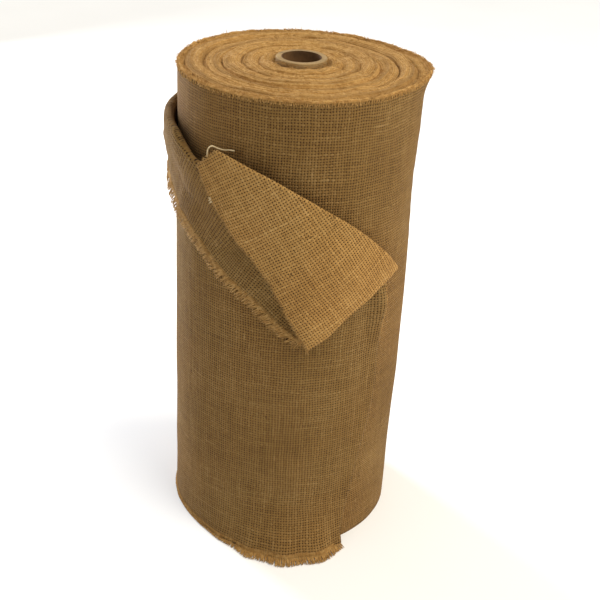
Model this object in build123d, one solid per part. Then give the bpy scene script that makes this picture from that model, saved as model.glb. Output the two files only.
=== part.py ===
from build123d import *
import math
import os

os.makedirs("parts", exist_ok=True)

# ---------------------------------------------------------------------------
# Roll of woven jute (hessian) cloth on a cardboard tube, standing on end.
# Millimetres. +Z runs up the roll's axis, the origin is on the axis at the
# base, and -Y is the side on which the loose corner of the cloth hangs.
# Angles go round the roll: 0 is at -Y, and positive turns towards +X.
# ---------------------------------------------------------------------------

# driving dimensions
CLOTH_WIDTH = 500.0        # height of the standing roll
CORE_BORE_R = 19.0         # 38 mm bore of the tube
CORE_OUTER_R = 25.0        # 6 mm paper wall
CORE_PROUD = 4.5           # the tube stands this far out of the cloth on top
TURN_RADII = [25.0, 41.0, 58.0, 76.0, 95.0, 112.0]      # bundles of wound turns
TURN_TOPS = [499.5, 499.0, 500.5, 498.0, 499.5]         # their uneven top ends
ROLL_R = 118.6             # outside of the last full turn
PLY = 0.9                  # cloth thickness
GAP = 0.3                  # air between cloth on different bodies
FLOOR_GAP = 0.6            # loose cloth just clears the floor

UNDER_IN = ROLL_R + GAP            # turned-under end, against the roll
UNDER_OUT = UNDER_IN + 0.6
WRAP_IN = UNDER_OUT + GAP          # loose last turn
WRAP_OUT = WRAP_IN + 1.0
FOLD_OUT = ROLL_R + 10.6           # outside of the rounded diagonal fold
CUFF_IN = ROLL_R + 7.0             # folded-down cloth, first ply
CUFF_OUT = CUFF_IN + 1.2
FLAP_IN = ROLL_R + 8.8             # folded-down cloth, second ply
FLAP_OUT = FLAP_IN + 1.4
SKIRT_R = ROLL_R + 15.0            # loose turn flares out at the floor
SKIRT_H = 60.0
FRINGE = 9.0                       # length of the frayed threads

ROOT_DEG = -150.0          # where the loose turn leaves the roll
HINGE_DEG = -118.0         # where it bends as it is peeled away, under half a turn from its free end

# (angle, height) along the edges of the loose cloth
RIDGE = [(-150, 499), (-135, 478), (-120, 462), (-105, 453), (-90, 450), (-75, 450),
         (-60, 447), (-45, 442), (-34, 443), (-18.6, 437.5), (-2, 424), (10.5, 403.5),
         (24, 382), (34, 365.5), (46, 337)]
FRAYED = [(-150, 499), (-135, 482), (-120, 458), (-110, 438), (-100, 418), (-90, 397),
          (-80, 384), (-70, 372), (-62, 363), (-50.5, 350), (-39.6, 335), (-32.8, 322),
          (-18.8, 303), (-6, 280), (0.3, 267), (7.5, 257)]
FLAP_EDGE = [(-42.4, 427), (-35.6, 398), (-28.9, 379), (-21.9, 361), (-13.9, 342),
             (-6.5, 323), (2.3, 292), (9.2, 255)]
END_EDGE = [(53.5, 317), (52.0, 290), (50.0, 272), (48.6, 255), (47.6, 228), (47.4, 194),
            (45.2, 147), (41.4, 111), (33.0, 0)]
POINT_B = (53.0, 322.0)    # where the diagonal fold meets the end fold
POINT_C = (9.0, 253.5)     # hanging corner

# the hanging corner turns up about this line, in the front view (X, Z)
LIFT_X, LIFT_Z = 20.0, 350.0
LIFT_DIR = (0.9, -0.436)
LIFT_GAP = 3.0
CORNER_LEFT_X = -52.0      # left end of the cloth that lifts with the corner


# ---------------------------------------------------------------------------
# helpers
# ---------------------------------------------------------------------------
def ring(r_in, r_out, z0, z1):
    outer = Pos(0, 0, z0) * Cylinder(r_out, z1 - z0, align=(Align.CENTER, Align.CENTER, Align.MIN))
    inner = Pos(0, 0, z0 - 1) * Cylinder(r_in, z1 - z0 + 2, align=(Align.CENTER, Align.CENTER, Align.MIN))
    return outer - inner


def front_xz(pts, r):
    return [(r * math.sin(math.radians(a)), z) for a, z in pts]


def side_yz(pts, r):
    return [(r * math.cos(math.radians(a)), z) for a, z in pts]


def front_prism(pts):
    """Polygon drawn in the front view, run through the front half of the roll."""
    return extrude(Plane.XZ * make_face(Polyline(*pts, close=True)), amount=220)


SIDE = Plane(origin=(0, 0, 0), x_dir=(0, -1, 0), z_dir=(-1, 0, 0))


def side_prism(pts):
    """Polygon drawn in the left side view, run through the left half."""
    return extrude(SIDE * make_face(Polyline(*pts, close=True)), amount=220)


def wedge(a0, a1, z0=-10.0, z1=540.0, r=260.0):
    """Everything between two angles, less than half a turn apart."""
    n = 8
    pts = [(0, 0)]
    for i in range(n + 1):
        a = math.radians(a0 + (a1 - a0) * i / n)
        pts.append((r * math.sin(a), -r * math.cos(a)))
    return extrude(Pos(0, 0, z0) * make_face(Polyline(*pts, close=True)), amount=z1 - z0)


def first_solid(shape):
    solids = sorted(shape.solids(), key=lambda s: -s.volume)
    return solids[0]


def between(pts, a0, a1):
    """The part of an edge between two angles, with its ends interpolated."""
    def at(a):
        for (p, zp), (q, zq) in zip(pts, pts[1:]):
            if p <= a <= q:
                return (a, zp + (zq - zp) * (a - p) / (q - p))
        return (a, pts[-1][1] if a > pts[-1][0] else pts[0][1])
    return [at(a0)] + [p for p in pts if a0 < p[0] < a1] + [at(a1)]


def drop(pts, dz):
    return [(a, z - dz) for a, z in pts]


SPLIT = -45.0              # front and side views share the work at this angle


def band(r_in, r_out, top, bottom, a0, a1):
    """Curved plate between two edges, following the roll."""
    out = None
    rm = 0.5 * (r_in + r_out)
    shell = ring(r_in, r_out, -2, 520)
    if a0 < SPLIT:
        hi = between(top, a0, min(a1, SPLIT))
        lo = between(bottom, a0, min(a1, SPLIT))
        poly = side_yz(hi, rm) + side_yz(list(reversed(lo)), rm)
        out = (side_prism(poly) & shell) & wedge(a0, min(a1, SPLIT))
    if a1 > SPLIT:
        s = max(a0, SPLIT)
        hi = between(top, s, a1)
        lo = between(bottom, s, a1)
        poly = front_xz(hi, rm) + front_xz(list(reversed(lo)), rm)
        piece = (front_prism(poly) & shell) & wedge(s, min(a1, 75.0))
        out = piece if out is None else out + piece
    return first_solid(out)


# ---------------------------------------------------------------------------
# cardboard tube
# ---------------------------------------------------------------------------
core_tube = ring(CORE_BORE_R, CORE_OUTER_R, 0, CLOTH_WIDTH + CORE_PROUD)
core_tube = chamfer(core_tube.edges().filter_by(GeomType.CIRCLE).group_by(SortBy.RADIUS)[-1], 0.6)
core_tube = first_solid(core_tube)

# ---------------------------------------------------------------------------
# wound turns, in bundles that stand a little proud of each other
# ---------------------------------------------------------------------------
names = ["inner_turns", "second_turns", "middle_turns", "fourth_turns", "outer_turns"]
turns = {}
for i, name in enumerate(names):
    body = ring(TURN_RADII[i], TURN_RADII[i + 1], 0, TURN_TOPS[i])
    top_edges = body.faces().sort_by(Axis.Z)[-1].edges()
    body = fillet(top_edges, 1.6)
    turns[name] = first_solid(body)

# last full turns, with a lip that leans out at the top right
last_turns = ring(TURN_RADII[-1], ROLL_R, 0, CLOTH_WIDTH)
lip_profile = Plane.XZ * make_face(Polyline(
    (ROLL_R - 0.4, 474), (ROLL_R, 474), (ROLL_R + 2.0, 486), (ROLL_R + 6.5, 498),
    (ROLL_R + 5.2, 498.6), (ROLL_R - 0.4, 487), close=True))
lip = Rot(0, 0, -25) * revolve(lip_profile, Axis.Z, 60)
last_turns = first_solid(last_turns + lip)

# ---------------------------------------------------------------------------
# loose last turn: upright wall, and a skirt that flares out to the floor
# ---------------------------------------------------------------------------
WALL_TOP = drop(RIDGE, 7.0) + [(54.5, 311.0)]


def end_cut(offset=0.0):
    """Everything to the left of the end fold, in the front view."""
    edge = front_xz(END_EDGE, WRAP_OUT)
    pts = [(x - offset, z) for x, z in edge] + [(front_xz([END_EDGE[-1]], WRAP_OUT)[0][0] - offset, -10)]
    poly = [(-200, 540), (edge[0][0] - offset, 540)] + pts + [(-200, -10)]
    return front_prism(poly)


root_left = wedge(ROOT_DEG, HINGE_DEG - 0.4)
back_left = wedge(HINGE_DEG, -90.0)
mid_left = wedge(-90.0, SPLIT)
front = wedge(SPLIT, 75.0)

wall_profile = Plane.XZ * make_face(Polyline(
    (WRAP_IN, 505), (WRAP_OUT, 505), (WRAP_OUT, SKIRT_H), (WRAP_OUT + 4.0, 25), (SKIRT_R, FLOOR_GAP),
    (SKIRT_R - 1.2, FLOOR_GAP), (WRAP_IN + 3.2, 26), (WRAP_IN, SKIRT_H + 1.0), close=True))
plain_profile = Plane.XZ * make_face(Polyline(
    (WRAP_IN, 505), (WRAP_OUT, 505), (WRAP_OUT, FLOOR_GAP), (WRAP_IN, FLOOR_GAP), close=True))

plain_shell = revolve(plain_profile, Axis.Z, 360)
skirt_shell = revolve(wall_profile, Axis.Z, 360)


def below_top(a0, a1, use_side):
    hi = between(WALL_TOP, a0, a1)
    if use_side:
        poly = side_yz(hi, WRAP_OUT) + [(side_yz([(a1, 0)], WRAP_OUT)[0][0], -10), (side_yz([(a0, 0)], WRAP_OUT)[0][0], -10)]
        return side_prism(poly)
    poly = front_xz(hi, WRAP_OUT) + [(front_xz([(a1, 0)], WRAP_OUT)[0][0] + 40, -10), (front_xz([(a0, 0)], WRAP_OUT)[0][0], -10)]
    return front_prism(poly)


root_wall = (plain_shell & below_top(ROOT_DEG, -100.0, True)) & root_left
wrap_root = first_solid(root_wall)
left_wall = (plain_shell & below_top(HINGE_DEG, SPLIT, True)) & (back_left + mid_left)
wrap_left = first_solid(left_wall)
front_wall = ((skirt_shell & below_top(SPLIT, 54.5, False)) & front) & end_cut()
wrap_front = first_solid(front_wall)

# turned-under end: the last part of the cloth, folded back behind the loose turn
under_top = [(-41, 415), (-34, 415), (-18.6, 408), (-2, 396), (10.5, 376), (24, 355), (34, 340), (46, 312), (50, 300)]
under_poly = front_xz(under_top, UNDER_OUT) + [(front_xz([(33, 0)], UNDER_OUT)[0][0] - 4.0, 2.0), (front_xz([(-48, 0)], UNDER_OUT)[0][0], 2.0)]
turned_under_end = first_solid(front_prism(under_poly) & ring(UNDER_IN, UNDER_OUT, 2.0, 480))

# rounded fold down the free end, joining the loose turn to the turned-under end
edge_pts = front_xz(END_EDGE[:-1] + [(34.4, 20)], WRAP_OUT)
bead_poly = [(x + 0.4, z) for x, z in edge_pts] + [(x + 2.6, z) for x, z in reversed(edge_pts)]
end_fold = first_solid(front_prism(bead_poly) & ring(UNDER_IN, WRAP_OUT + 0.6, 15, 330))

# ---------------------------------------------------------------------------
# diagonal fold and the cloth folded down over it
# ---------------------------------------------------------------------------
fold_root = band(WRAP_IN, FOLD_OUT, RIDGE, drop(RIDGE, 6.8), -138.0, -119.5)
fold_left = band(WRAP_IN, FOLD_OUT, RIDGE, drop(RIDGE, 6.8), -113.0, SPLIT)
fold_front = band(WRAP_IN, FOLD_OUT, RIDGE, drop(RIDGE, 6.8), SPLIT, 46.0)
wrap_root = first_solid(wrap_root - fold_root)
wrap_left = first_solid(wrap_left - fold_left)
wrap_front = first_solid(wrap_front - fold_front)

CUFF_TOP = drop(RIDGE, 7.6)
cuff_left = band(CUFF_IN, CUFF_OUT, CUFF_TOP, FRAYED, -112.0, SPLIT)
cuff_left = first_solid(cuff_left - fold_left)
cuff_front_all = band(CUFF_IN, CUFF_OUT, CUFF_TOP, FRAYED + [(20, 268), (33, 300), (44, 318), (50, 322)], SPLIT, 46.0)
cuff_front_all = first_solid(cuff_front_all - fold_front)

flap_outline = (front_xz([(-42.0, 426.0), (-38, 430.5)], FLAP_OUT)
                + front_xz([(-34, 433.0), (-18.6, 427.8), (-2, 414.2), (10.5, 393.8), (24, 372.3), (34, 355.8), (46, 327.0)], FLAP_OUT)
                + front_xz([POINT_B, (44.1, 318), (35.6, 302), (24.8, 283), (16.6, 266), POINT_C], FLAP_OUT)
                + front_xz(list(reversed(FLAP_EDGE[1:-1])), FLAP_OUT))
flap_all = first_solid((front_prism(flap_outline) & ring(FLAP_IN, FLAP_OUT, 200, 460)) - fold_front)

# cut the corner that lifts away from the cloth that stays
bx, bz = LIFT_DIR[1], -LIFT_DIR[0]          # square to the lift line, pointing down
far = 400.0


def below_line(off):
    ox, oz = LIFT_X + bx * off, LIFT_Z + bz * off
    p = (ox - LIFT_DIR[0] * far, oz - LIFT_DIR[1] * far)
    q = (ox + LIFT_DIR[0] * far, oz + LIFT_DIR[1] * far)
    return extrude(Plane.XZ * make_face(Polyline(p, q, (q[0] + bx * far, q[1] + bz * far), (p[0] + bx * far, p[1] + bz * far), close=True)), amount=220)


def right_of(x):
    return Pos(x, 0, 0) * Box(400, 500, 1200, align=(Align.MIN, Align.MAX, Align.CENTER))


tip_zone = below_line(LIFT_GAP) & right_of(CORNER_LEFT_X + LIFT_GAP)
keep_out = below_line(-LIFT_GAP) & right_of(CORNER_LEFT_X - LIFT_GAP)

cuff_front = first_solid(cuff_front_all - keep_out)
cuff_corner = first_solid(cuff_front_all & tip_zone)
flap_upper = first_solid(flap_all - keep_out)
flap_corner = first_solid(flap_all & tip_zone)

# ---------------------------------------------------------------------------
# frayed edges, as thin bands of loose threads
# ---------------------------------------------------------------------------
frayed_low = [(a, z - FRINGE * 0.9) for a, z in FRAYED]
frayed_left = first_solid(band(CUFF_IN, CUFF_OUT - 0.2, FRAYED, frayed_low, -112.0, SPLIT) - cuff_left)
frayed_front_all = first_solid(band(CUFF_IN, CUFF_OUT - 0.2, FRAYED, frayed_low, SPLIT, 6.5) - cuff_front_all)
frayed_front = first_solid(frayed_front_all - keep_out)
frayed_corner = first_solid(frayed_front_all & tip_zone)

foot = Plane.XZ * make_face(Polyline(
    (SKIRT_R + 0.0, FLOOR_GAP), (SKIRT_R + FRINGE, FLOOR_GAP), (SKIRT_R + FRINGE, FLOOR_GAP + 1.2),
    (SKIRT_R + 0.0, FLOOR_GAP + 1.8), close=True))
foot_fringe = first_solid((revolve(foot, Axis.Z, 360) & wedge(-30, 31)))

# ---------------------------------------------------------------------------
# one loose yarn from the cut end, leaning on the roll
# ---------------------------------------------------------------------------
YARN_R = 0.65


def on_roll(a, z, r):
    return (r * math.sin(math.radians(a)), -r * math.cos(math.radians(a)), z)


yarn_route = [on_roll(-40.6, 437.0, FLAP_OUT + 1.4), on_roll(-40.9, 442.5, FLAP_OUT + 2.0), on_roll(-40.0, 448.5, ROLL_R + 9.0),
              on_roll(-36.6, 450.3, ROLL_R + 5.2), on_roll(-33.8, 446.6, ROLL_R + 3.3), on_roll(-30.8, 447.4, ROLL_R + 2.3),
              on_roll(-27.8, 447.0, ROLL_R + 1.8)]
yarn_radii = []
for p, q, s in zip(yarn_route, yarn_route[1:], yarn_route[2:]):
    u = Vector(*q) - Vector(*p)
    v = Vector(*s) - Vector(*q)
    turn = math.radians(u.get_angle(v))
    yarn_radii.append(0.45 * min(u.length, v.length) / math.tan(turn / 2))
yarn_path = FilletPolyline(*[Vector(*p) for p in yarn_route], radius=yarn_radii)
yarn_start = Plane(origin=yarn_path @ 0, z_dir=yarn_path % 0)
loose_yarn = first_solid(sweep(yarn_start * Circle(YARN_R), path=yarn_path))
print("yarn length %.1f mm, arc radii %s" % (yarn_path.length, ["%.1f" % r for r in yarn_radii]))
print("yarn volume %.2f, section times length %.2f" % (loose_yarn.volume, math.pi * YARN_R ** 2 * yarn_path.length))

# ---------------------------------------------------------------------------
# write one STEP per node
# ---------------------------------------------------------------------------
nodes = {
    "core_tube": core_tube,
    **turns,
    "last_turns": last_turns,
    "loose_turn_root": wrap_root,
    "loose_turn_left": wrap_left,
    "loose_turn_front": wrap_front,
    "turned_under_end": turned_under_end,
    "end_fold": end_fold,
    "diagonal_fold_root": fold_root,
    "diagonal_fold_left": fold_left,
    "diagonal_fold_front": fold_front,
    "cuff_left": cuff_left,
    "cuff_front": cuff_front,
    "cuff_corner": cuff_corner,
    "flap_upper": flap_upper,
    "flap_corner": flap_corner,
    "frayed_edge_left": frayed_left,
    "frayed_edge_front": frayed_front,
    "frayed_edge_corner": frayed_corner,
    "foot_fringe": foot_fringe,
    "loose_yarn": loose_yarn,
}
for name, solid in nodes.items():
    export_step(solid, "parts/%s.step" % name)
print("wrote", len(nodes), "nodes")
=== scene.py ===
import bpy
import bmesh
import math
import numpy as np
from mathutils import Matrix, Vector


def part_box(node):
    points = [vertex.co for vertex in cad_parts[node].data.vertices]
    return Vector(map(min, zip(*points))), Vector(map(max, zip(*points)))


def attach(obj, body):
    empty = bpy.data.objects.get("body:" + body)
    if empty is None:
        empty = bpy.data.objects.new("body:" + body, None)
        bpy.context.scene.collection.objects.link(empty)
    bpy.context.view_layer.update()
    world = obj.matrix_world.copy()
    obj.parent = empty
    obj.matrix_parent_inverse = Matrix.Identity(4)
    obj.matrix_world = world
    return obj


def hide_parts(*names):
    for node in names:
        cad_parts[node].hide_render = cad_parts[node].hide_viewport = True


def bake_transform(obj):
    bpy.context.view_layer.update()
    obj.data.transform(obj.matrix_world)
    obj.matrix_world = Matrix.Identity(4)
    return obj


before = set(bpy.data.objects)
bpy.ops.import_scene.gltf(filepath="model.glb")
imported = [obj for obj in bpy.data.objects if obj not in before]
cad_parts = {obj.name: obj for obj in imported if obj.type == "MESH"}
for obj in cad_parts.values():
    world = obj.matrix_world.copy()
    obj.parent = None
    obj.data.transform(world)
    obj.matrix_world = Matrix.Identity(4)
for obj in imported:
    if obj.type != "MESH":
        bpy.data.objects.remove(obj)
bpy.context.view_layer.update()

MM = 0.001
rng = np.random.default_rng(20531)

# ---------------------------------------------------------------------------
# the roll, in millimetres; angles go round it from the front (-Y) towards +X
# ---------------------------------------------------------------------------
lo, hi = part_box("last_turns")
ROLL_R = 118.6
TOP = 500.0
PITCH = 2.75            # one yarn to the next
TURN = 0.9              # one turn of cloth to the next


def table(pairs):
    """Smooth monotone curve through (x, y) pairs."""
    x = np.array([p[0] for p in pairs], float)
    y = np.array([p[1] for p in pairs], float)
    h = np.diff(x)
    d = np.diff(y) / h
    m = np.zeros_like(x)
    m[0], m[-1] = d[0], d[-1]
    for i in range(1, len(x) - 1):
        if d[i - 1] * d[i] > 0:
            w1, w2 = 2 * h[i] + h[i - 1], h[i] + 2 * h[i - 1]
            m[i] = (w1 + w2) / (w1 / d[i - 1] + w2 / d[i])

    def f(v):
        v = np.asarray(v, float)
        i = np.clip(np.searchsorted(x, v) - 1, 0, len(x) - 2)
        t = np.clip((v - x[i]) / h[i], 0, 1)
        a = (1 + 2 * t) * (1 - t) ** 2
        b = t * (1 - t) ** 2
        c = t * t * (3 - 2 * t)
        e = t * t * (t - 1)
        return a * y[i] + b * h[i] * m[i] + c * y[i + 1] + e * h[i] * m[i + 1]
    return f


def smooth(t):
    t = np.clip(t, 0, 1)
    return t * t * (3 - 2 * t)


def xyz(a, r, z):
    a = np.radians(a)
    return np.stack(np.broadcast_arrays(r * np.sin(a), -r * np.cos(a), np.asarray(z, float)), -1)


_waves = {}


def noise(x, y, scale, seed):
    """Soft deterministic noise between -1 and 1, with features about scale long."""
    if seed not in _waves:
        g = np.random.default_rng(seed)
        ang = g.uniform(0, 2 * math.pi, 14)
        fr = g.uniform(0.5, 1.6, 14)
        _waves[seed] = (fr * np.cos(ang), fr * np.sin(ang), g.uniform(0, 2 * math.pi, 14))
    kx, ky, ph = _waves[seed]
    x = np.asarray(x, float)[..., None] / scale * 2 * math.pi
    y = np.asarray(y, float)[..., None] / scale * 2 * math.pi
    return np.sin(x * kx + y * ky + ph).sum(-1) / math.sqrt(14 * 0.5) * 0.6


def noise3(x, y, z, scale, seed):
    key = (seed, 3)
    if key not in _waves:
        g = np.random.default_rng(seed)
        d = g.normal(0, 1, (18, 3))
        d = d / np.linalg.norm(d, axis=1, keepdims=True) * g.uniform(0.5, 1.6, (18, 1))
        _waves[key] = (d, g.uniform(0, 2 * math.pi, 18))
    d, ph = _waves[key]
    x, y, z = np.broadcast_arrays(np.asarray(x, float), np.asarray(y, float), np.asarray(z, float))
    k = 2 * math.pi / scale
    return np.sin(k * (x[..., None] * d[:, 0] + y[..., None] * d[:, 1] + z[..., None] * d[:, 2]) + ph).sum(-1) / 3.0 * 0.6


def round_noise(a, r, z, scale, seed, stretch=1.0):
    """The same, closing on itself round the roll; stretch draws it out along the turns."""
    q = np.radians(a)
    return noise3(np.sin(q) * 118.0 / stretch, np.cos(q) * 118.0 / stretch, np.asarray(z, float) + np.asarray(r, float) * 1.7, scale, seed)


# ---------------------------------------------------------------------------
# materials
# ---------------------------------------------------------------------------
def new_material(name):
    m = bpy.data.materials.new(name)
    m.use_nodes = True
    nt = m.node_tree
    nt.nodes.clear()
    out = nt.nodes.new("ShaderNodeOutputMaterial")
    b = nt.nodes.new("ShaderNodeBsdfPrincipled")
    nt.links.new(b.outputs["BSDF"], out.inputs["Surface"])
    return m, nt, b


class G:
    """Small helper for building node graphs."""

    def __init__(self, nt):
        self.nt = nt

    def put(self, sock, v):
        if hasattr(v, "is_output"):
            self.nt.links.new(v, sock)
        elif v is not None:
            sock.default_value = v

    def m(self, op, a, b=None, c=None, clamp=False):
        n = self.nt.nodes.new("ShaderNodeMath")
        n.operation = op
        n.use_clamp = clamp
        for s, v in zip(n.inputs, (a, b, c)):
            self.put(s, v)
        return n.outputs[0]

    def vec(self, x, y, z=0.0):
        n = self.nt.nodes.new("ShaderNodeCombineXYZ")
        for s, v in zip(n.inputs, (x, y, z)):
            self.put(s, v)
        return n.outputs[0]

    def noise(self, vec, scale, detail=2.0, rough=0.5):
        n = self.nt.nodes.new("ShaderNodeTexNoise")
        n.inputs["Scale"].default_value = scale
        n.inputs["Detail"].default_value = detail
        n.inputs["Roughness"].default_value = rough
        self.put(n.inputs["Vector"], vec)
        return n.outputs["Fac"]

    def remap(self, v, a, b, c, d, clamp=True):
        n = self.nt.nodes.new("ShaderNodeMapRange")
        n.clamp = clamp
        self.put(n.inputs["Value"], v)
        for k, s in zip((a, b, c, d), (1, 2, 3, 4)):
            n.inputs[s].default_value = k
        return n.outputs[0]

    def mix(self, f, a, b, blend="MIX"):
        n = self.nt.nodes.new("ShaderNodeMix")
        n.data_type = "RGBA"
        n.blend_type = blend
        n.clamp_factor = True
        self.put(n.inputs[0], f)
        for s, v in ((n.inputs[6], a), (n.inputs[7], b)):
            if isinstance(v, tuple):
                s.default_value = (*v, 1.0)
            else:
                self.put(s, v)
        return n.outputs[2]

    def ramp(self, f, stops):
        n = self.nt.nodes.new("ShaderNodeValToRGB")
        el = n.color_ramp.elements
        while len(el) < len(stops):
            el.new(0.5)
        for e, (p, c) in zip(el, stops):
            e.position = p
            e.color = (*c, 1.0)
        self.put(n.inputs[0], f)
        return n.outputs[0]

    def bump(self, h, dist, strength=1.0, normal=None):
        n = self.nt.nodes.new("ShaderNodeBump")
        n.inputs["Strength"].default_value = strength
        n.inputs["Distance"].default_value = dist
        self.put(n.inputs["Height"], h)
        if normal is not None:
            self.put(n.inputs["Normal"], normal)
        return n.outputs[0]


# colour of the painted shade in the weave's gaps
GAP_SHADE = (0.020, 0.008, 0.0028)
YARN_LO = (0.180, 0.088, 0.0225)
YARN_MID = (0.300, 0.163, 0.0480)
YARN_HI = (0.450, 0.282, 0.1080)


def jute_cloth(name, tone=1.0, phase=0.0, gap=-0.20):
    """Open plain weave of jute yarn, drawn from the cloth's own coordinates in metres."""
    mat, nt, bsdf = new_material(name)
    g = G(nt)
    uvn = nt.nodes.new("ShaderNodeUVMap")
    uvn.uv_map = "cloth"
    sep = nt.nodes.new("ShaderNodeSeparateXYZ")
    nt.links.new(uvn.outputs[0], sep.inputs[0])
    u0, v0 = sep.outputs[0], sep.outputs[1]
    base = g.vec(u0, v0, phase)
    # yarns wander a little, and crowd or open out
    n1 = g.noise(base, 22.0, 2.0)
    n2 = g.noise(g.vec(v0, u0, phase + 3.7), 26.0, 2.0)
    n3 = g.noise(base, 190.0, 1.0)
    u = g.m("ADD", u0, g.m("ADD", g.m("MULTIPLY", g.m("SUBTRACT", n1, 0.5), 0.0042), g.m("MULTIPLY", g.m("SUBTRACT", n3, 0.5), 0.0008)))
    v = g.m("ADD", v0, g.m("ADD", g.m("MULTIPLY", g.m("SUBTRACT", n2, 0.5), 0.0050), g.m("MULTIPLY", g.m("SUBTRACT", n3, 0.5), -0.0007)))
    a = g.m("DIVIDE", u, PITCH * MM)
    b = g.m("DIVIDE", v, PITCH * MM)
    ia, fa = g.m("FLOOR", a), g.m("FRACT", a)
    ib, fb = g.m("FLOOR", b), g.m("FRACT", b)
    # thickness and colour along each single yarn
    warp_v = g.noise(g.vec(g.m("MULTIPLY", a, 0.06), g.m("MULTIPLY", ib, 5.31), phase), 1.0, 3.0, 0.6)
    weft_v = g.noise(g.vec(g.m("MULTIPLY", ia, 5.77), g.m("MULTIPLY", b, 0.06), phase + 9.0), 1.0, 3.0, 0.6)
    ww = g.remap(warp_v, 0.25, 0.75, 0.28, 0.41)
    wf = g.remap(weft_v, 0.25, 0.75, 0.29, 0.42)
    pw = g.m("SUBTRACT", 1.0, g.m("POWER", g.m("DIVIDE", g.m("SUBTRACT", fb, 0.5), ww), 2.0))
    pf = g.m("SUBTRACT", 1.0, g.m("POWER", g.m("DIVIDE", g.m("SUBTRACT", fa, 0.5), wf), 2.0))
    ew = g.m("SINE", g.m("MULTIPLY", g.m("ADD", a, ib), math.pi))
    ef = g.m("SINE", g.m("MULTIPLY", g.m("ADD", b, g.m("ADD", ia, 1.0)), math.pi))
    # twist of the single yarns, and loose fibres
    tw = g.m("SINE", g.m("MULTIPLY", g.m("ADD", g.m("MULTIPLY", a, 3.1), g.m("MULTIPLY", fb, 1.6)), 2 * math.pi))
    tf = g.m("SINE", g.m("MULTIPLY", g.m("ADD", g.m("MULTIPLY", b, 3.1), g.m("MULTIPLY", fa, 1.6)), 2 * math.pi))
    hair = g.noise(base, 1500.0, 3.0, 0.65)

    def height(p, e, t):
        root = g.m("SQRT", g.m("MAXIMUM", p, 0.0001))
        h = g.m("ADD", g.m("MULTIPLY", root, 0.55), g.m("MULTIPLY", e, 0.30))
        h = g.m("ADD", h, g.m("MULTIPLY", g.m("MULTIPLY", t, root), 0.035))
        inside = g.m("GREATER_THAN", p, 0.0)
        return g.m("ADD", g.m("MULTIPLY", h, inside), g.m("MULTIPLY", g.m("SUBTRACT", 1.0, inside), -0.55))
    hw = height(pw, ew, tw)
    hf = height(pf, ef, tf)
    top = g.m("MAXIMUM", hw, hf)
    h = g.m("ADD", top, g.m("MULTIPLY", g.m("SUBTRACT", hair, 0.5), 0.16))
    is_warp = g.m("GREATER_THAN", hw, hf)
    pick = nt.nodes.new("ShaderNodeMix")
    g.put(pick.inputs[0], is_warp)
    g.put(pick.inputs[2], weft_v)
    g.put(pick.inputs[3], warp_v)
    shade = pick.outputs[0]
    # colour drifts in broad patches, and streaks run along odd yarns
    patch = g.noise(base, 9.0, 3.0, 0.55)
    fine = g.noise(base, 420.0, 2.0, 0.6)
    s = g.m("ADD", g.m("MULTIPLY", g.m("SUBTRACT", shade, 0.5), 0.8), 0.5)
    s = g.m("ADD", s, g.m("MULTIPLY", g.m("SUBTRACT", patch, 0.5), 0.55))
    s = g.m("ADD", s, g.m("MULTIPLY", g.m("SUBTRACT", fine, 0.5), 0.55), None, True)
    k = tone
    col = g.ramp(s, [(0.12, tuple(c * k for c in YARN_LO)), (0.5, tuple(c * k for c in YARN_MID)), (0.92, tuple(c * k for c in YARN_HI))])
    hue = g.remap(g.noise(g.vec(v0, u0, phase + 51.0), 6.5, 2.0), 0.35, 0.65, 0.0, 1.0)
    col = g.mix(1.0, col, g.mix(hue, (1.015, 0.985, 0.96), (0.985, 1.01, 1.01)), "MULTIPLY")
    # slubs: short pale thick places
    slub = g.remap(g.noise(g.vec(g.m("MULTIPLY", ia, 3.9), g.m("MULTIPLY", b, 0.11), phase + 21.0), 1.0, 1.0), 0.745, 0.80, 0.0, 0.6)
    col = g.mix(slub, col, tuple(min(1.0, c * 1.18 * k) for c in YARN_HI))
    slub2 = g.remap(g.noise(g.vec(g.m("MULTIPLY", a, 0.05), g.m("MULTIPLY", ib, 3.3), phase + 31.0), 1.0, 1.0), 0.74, 0.80, 0.0, 0.5)
    col = g.mix(slub2, col, tuple(min(1.0, c * 1.1 * k) for c in YARN_HI))
    # bark specks
    speck = g.remap(g.noise(base, 260.0, 0.0), 0.80, 0.84, 0.0, 0.8)
    col = g.mix(speck, col, tuple(c * 0.5 for c in YARN_LO))
    # painted shade: the gaps between the yarns and the low edges of each yarn are darkened by yarn height
    out_of_gap_shade = g.remap(g.m("ADD", top, g.m("MULTIPLY", g.m("SUBTRACT", g.noise(base, 300.0, 2.0), 0.5), 0.45)), gap, 0.50, 0.0, 1.0)
    col = g.mix(out_of_gap_shade, tuple(c * k for c in GAP_SHADE), col)
    g.put(bsdf.inputs["Base Color"], col)
    bsdf.inputs["Roughness"].default_value = 0.94
    bsdf.inputs["Specular IOR Level"].default_value = 0.08
    bsdf.inputs["Sheen Weight"].default_value = 0.03
    bsdf.inputs["Sheen Roughness"].default_value = 0.6
    g.put(bsdf.inputs["Normal"], g.bump(h, 0.0011, 0.85))
    return mat


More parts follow.
